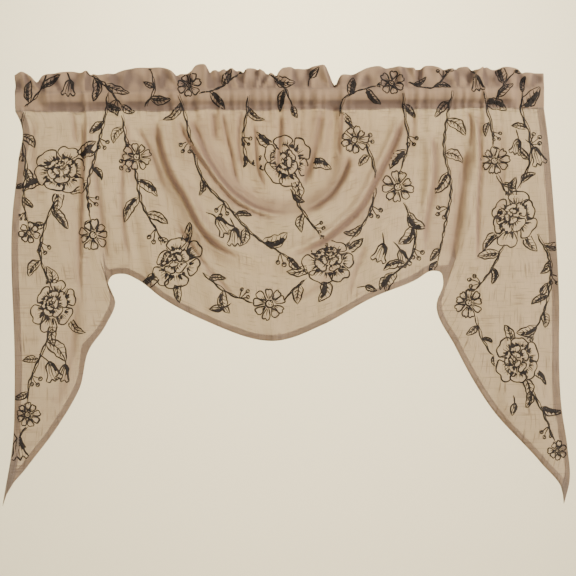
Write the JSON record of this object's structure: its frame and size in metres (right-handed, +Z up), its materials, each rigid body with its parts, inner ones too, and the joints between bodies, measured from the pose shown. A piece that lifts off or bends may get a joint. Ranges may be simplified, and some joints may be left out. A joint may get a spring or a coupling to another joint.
{
  "type": "swag and tail drape on rod",
  "caption": "Sheer swag and tail drape gathered by its pocket on a plain straight rod, with a ruffled heading, a draped cowl swag and long pointed tails.",
  "frame": {"origin": "middle of the rod, on its axis", "axes": "+X along the rod to the right, +Z up, front towards -Y"},
  "size_m": [1.1931, 0.0841, 0.927],
  "materials": {
    "cloth": "sheer slub plain weave, matt",
    "rod": "satin white"
  },
  "bodies": {
    "root": {"cloth": "cloth", "rod": "rod"}
  },
  "joints": []
}
